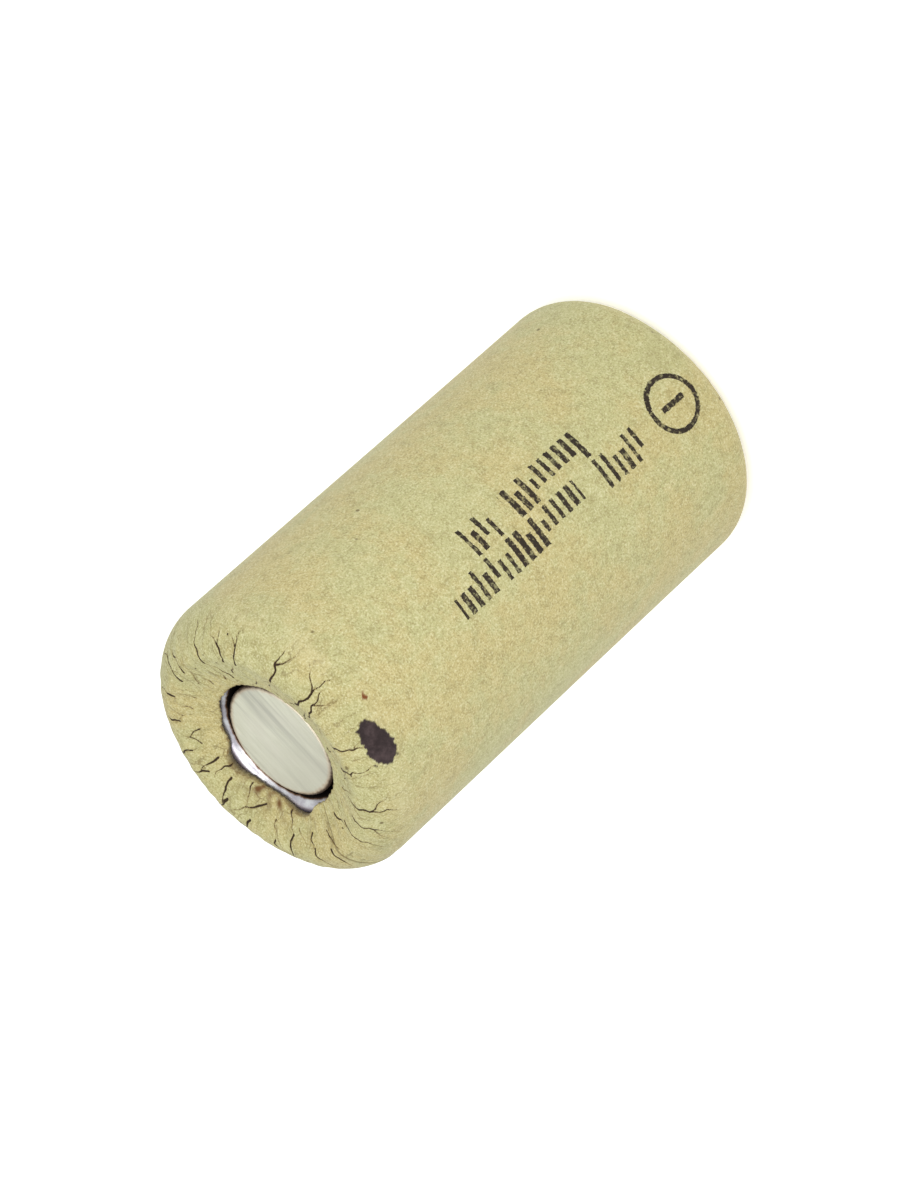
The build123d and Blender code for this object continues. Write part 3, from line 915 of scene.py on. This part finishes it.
def toward(shader, x, y, away, degrees, power):
    """1 on the ray that leaves the middle at that angle, fading to both sides of it."""
    turn = math.radians(degrees)
    side = shader.add(shader.times(x, math.cos(turn)), shader.times(y, math.sin(turn)))
    side = shader.math("DIVIDE", side, shader.times(away, MM))
    return shader.math("POWER", shader.math("MAXIMUM", side, 0.0), power)


def scorched_edge(shader, color, x, y):
    """The disc's colour with the scorch on its edge: rusty, and nearly black outside that."""
    away = shader.times(shader.distance(x, y), 1 / MM)
    least_width = 0.06
    broader = 0.0
    for degrees, power, extra in SCORCHED_AT:
        there = toward(shader, x, y, away, degrees, power)
        broader = shader.add(broader, shader.times(there, extra))
    from_edge = shader.add(shader.times(away, -1), CONTACT_R - least_width)
    depth = shader.add(from_edge, shader.jitter(2600, 0.35))
    depth = shader.add(depth, shader.times(broader, -1))
    rusty = shader.ramp(depth, 0.34, 0.0)
    scorched = shader.ramp(depth, 0.1, -0.12)
    color = shader.blend(shader.times(rusty, 0.45), color, DISC_RUSTY)
    return shader.blend(shader.times(scorched, 0.9), color, DISC_SCORCHED)


def ground_contact():
    """Dull contact disc ground in one direction, with a darker band, darker towards -X, a scorched
    edge, and painted shade on its side down in the gap.
    """
    shader = Shader("ground_contact", roughness=0.45, metallic=0.7)
    x, y, z = shader.xyz()
    band_y = -1.3 * MM
    grind = shader.stretch((0.07, 1.0, 0.2), degrees=-8)
    scratches = shader.noise(7000, detail=5, roughness=0.75, place=grind)
    streaks = shader.noise(1500, place=grind)
    clouds = shader.noise(420)
    color = shader.blend(shader.ramp(scratches, 0.3, 0.7), DISC_DULL, DISC_BRIGHT)
    color = shader.blend(shader.ramp(clouds, 0.4, 0.7, 0.0, 0.6), color, DISC_CLOUD)
    color = shader.blend(shader.ramp(streaks, 0.52, 0.68, 0.0, 0.3), color, DISC_STREAK)
    from_band = shader.unsigned(shader.add(y, -band_y))
    band = shader.times(shader.ramp(from_band, 1.3 * MM, 0.2 * MM), shader.ramp(streaks, 0.3, 0.65))
    color = shader.blend(shader.times(band, 0.55), color, DISC_BAND)
    # The disc's colour darker towards -X.
    darker_side = shader.ramp(x, 1.5 * MM, -4.0 * MM, 0.0, 0.4)
    color = shader.blend(darker_side, color, DISC_DARKER_SIDE)
    color = scorched_edge(shader, color, x, y)
    # Painted shade: the disc's side, below its top, darkened down in the gap.
    side = shader.ramp(z, CONTACT_TOP_M - 0.24 * MM, CONTACT_TOP_M - 0.4 * MM)
    color = shader.blend(shader.times(side, 0.7), color, DISC_SIDE_SHADE)
    rough = shader.ramp(scratches, 0.3, 0.7, 0.38, 0.55)
    return shader.finish(color, rough, shader.bump(scratches, 0.003 * MM))


def plated_steel(name, tint, roughness, grain, stretch=(1.0, 1.0, 1.0)):
    """Nickel-plated metal with faint drawing marks and dull patches."""
    shader = Shader(name, roughness=roughness, metallic=1.0)
    marks = shader.noise(grain, detail=5, roughness=0.65, place=shader.stretch(stretch))
    patches = shader.noise(450, detail=4)
    darker = tuple(0.82 * part for part in tint)
    color = shader.blend(shader.ramp(marks, 0.3, 0.7), darker, tint)
    color = shader.blend(shader.ramp(patches, 0.5, 0.75, 0.0, 0.4), color, darker)
    rough = shader.ramp(patches, 0.3, 0.7, roughness * 0.8, roughness * 1.3)
    return shader.finish(color, rough, shader.bump(marks, 0.002 * MM))


def polished_lid():
    """Bright rolled lip round the contact, with painted shade: darker outwards under the paper's
    edge, and nearly black down in the mouth of its well, past a brown band.
    """
    shader = Shader("polished_lid", roughness=0.35, metallic=0.85)
    x, y, _ = shader.xyz()
    away = shader.times(shader.distance(x, y), 1 / MM)
    from_well = shader.add(shader.add(away, shader.jitter(1800, 0.16)), -WELL_R)
    smears = shader.noise(900, detail=4, roughness=0.65)
    color = shader.blend(shader.ramp(smears, 0.3, 0.7), LID_SMEARED, LID_BRIGHT)
    # Painted shade: the lip darker outwards, under the paper's edge.
    color = shader.blend(shader.ramp(from_well, 0.5, 0.95), color, LID_OUTER_SHADE)
    color = shader.blend(shader.ramp(from_well, 0.26, 0.16), color, LID_BROWN)
    # Painted shade: nearly black down in the mouth of the well, the gap round the contact.
    color = shader.blend(shader.ramp(from_well, 0.2, 0.12), color, LID_GAP_SHADE)
    rough = shader.ramp(from_well, 0.3, 0.1, 0.35, 0.6)
    return shader.finish(color, rough, shader.bump(smears, 0.002 * MM))


def powder_plate(name, dark, light):
    """Pressed powder of an electrode, with the pattern of the strip under it."""
    shader = Shader(name, roughness=0.9, specular=0.2)
    grains = shader.noise(5200, detail=4, roughness=0.7)
    strip = shader.cells(1100)
    color = shader.blend(shader.ramp(grains, 0.3, 0.7), dark, light)
    color = shader.blend(shader.ramp(strip, 0.0, 0.35, 0.5, 0.0), color, dark)
    return shader.finish(color, None, shader.bump(grains, 0.02 * MM))


def moulded(name, dark, light, roughness):
    """Moulded plastic or rubber with a fine matte skin."""
    shader = Shader(name, roughness=roughness, specular=0.4)
    skin = shader.noise(4200, detail=4)
    clouds = shader.noise(300, detail=3)
    color = shader.blend(shader.ramp(clouds, 0.3, 0.7), dark, light)
    rough = shader.ramp(skin, 0.3, 0.7, roughness * 0.85, min(1.0, roughness * 1.15))
    return shader.finish(color, rough, shader.bump(skin, 0.006 * MM))


def felt(name, dark, light):
    """Thin felt of crossed fibres."""
    shader = Shader(name, roughness=0.95, specular=0.2)
    upright = shader.stretch((1.0, 1.0, 0.12))
    level = shader.stretch((0.2, 0.2, 1.2))
    long_fibres = shader.noise(2600, detail=4, place=upright, distortion=0.9)
    short_fibres = shader.noise(3200, detail=4, place=level, distortion=0.9)
    weave = shader.add(long_fibres, short_fibres)
    color = shader.blend(shader.ramp(weave, 0.75, 1.25), dark, light)
    return shader.finish(color, None, shader.bump(weave, 0.02 * MM))


def dress_cad_nodes():
    """Gives every CAD node that stays its own material."""
    nickel = plated_steel("nickel_plated_steel", (0.66, 0.65, 0.62), 0.3, 2600, (1, 1, 0.08))
    strip = plated_steel("nickel_strip", (0.68, 0.66, 0.60), 0.34, 3000, (0.1, 1, 1))
    nylon = moulded("nylon", (0.60, 0.60, 0.55), (0.68, 0.67, 0.62), 0.55)
    separator = felt("separator_felt", (0.62, 0.62, 0.60), (0.82, 0.82, 0.80))
    looks = {
        "contact_cap": ground_contact(),
        "lid": polished_lid(),
        "steel_can": nickel,
        "valve_disc": nickel,
        "valve_seal": moulded("valve_rubber", (0.02, 0.02, 0.02), (0.04, 0.04, 0.04), 0.8),
        "gasket": nylon,
        "upper_insulator": nylon,
        "insulating_washer": felt("grey_card", (0.28, 0.26, 0.22), (0.42, 0.40, 0.34)),
        "positive_lead": strip,
        "positive_collector": strip,
        "negative_collector": strip,
        "positive_electrode": powder_plate("positive_plate", (0.02, 0.02, 0.02), (0.06, 0.06, 0.07)),
        "negative_electrode": powder_plate("negative_plate", (0.13, 0.14, 0.15), (0.24, 0.25, 0.27)),
        "inner_separator": separator,
        "outer_separator": separator,
        "roll_tape": moulded("tape_film", (0.55, 0.42, 0.14), (0.68, 0.55, 0.22), 0.25),
    }
    for node, material in looks.items():
        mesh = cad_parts[node].data
        mesh.materials.clear()
        mesh.materials.append(material)


# =====================================================================
# Floor and light
# =====================================================================

def make_floor():
    """Plain white table top."""
    half = 1500.0
    corners = [(-half, -half, 0), (half, -half, 0), (half, half, 0), (-half, half, 0)]
    floor = mesh_object("floor", corners, [[0, 1, 2, 3]])
    shader = Shader("white_table", roughness=0.9, specular=0.1)
    tone = shader.noise(3.0, detail=2)
    color = shader.blend(tone, (0.90, 0.90, 0.90), (0.93, 0.93, 0.93))
    shader.surface.inputs["Emission Color"].default_value = (1.0, 1.0, 1.0, 1.0)
    shader.surface.inputs["Emission Strength"].default_value = 0.46
    floor.data.materials.append(shader.finish(color))


def area_light(name, direction, distance, power, color, size=110):
    """Soft square light aimed at the middle of the cell, its power in watts."""
    data = bpy.data.lights.new(name, "AREA")
    data.shape = "SQUARE"
    data.size = size * MM
    data.energy = power
    data.color = color
    lamp = bpy.data.objects.new(name, data)
    way = Vector(direction).normalized()
    middle = Vector((0, 0, CELL_H / 2))
    lamp.location = (middle + distance * way) * MM
    lamp.rotation_euler = way.to_track_quat("Z", "Y").to_euler()
    bpy.context.collection.objects.link(lamp)


def make_light():
    """A bright even surround and two soft lights above the creased end."""
    world = bpy.data.worlds.new("surround")
    bpy.context.scene.world = world
    world.use_nodes = True
    background = world.node_tree.nodes["Background"]
    background.inputs["Color"].default_value = (0.965, 1.0, 0.965, 1.0)
    background.inputs["Strength"].default_value = 0.68
    area_light("key", (0.0, -0.72, 0.72), distance=170, power=0.145, color=(1.0, 0.98, 0.94))
    area_light("top", (0.0, 0.15, 1.0), distance=200, power=0.1, color=(1.0, 1.0, 0.97))
    bpy.context.scene.view_settings.view_transform = "Standard"


# =====================================================================
# Assembly
# =====================================================================

sleeve = build_sleeve()
sleeve.data.materials.append(kraft_paper())
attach(sleeve, "cell")
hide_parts("paper_sleeve")

spring = build_spring()
spring.data.materials.append(plated_steel("spring_steel", (0.52, 0.52, 0.53), 0.3, 5000))
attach(spring, "cell")
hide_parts("valve_spring")
shorten_with_valve(spring)

dress_cad_nodes()
make_floor()
make_light()
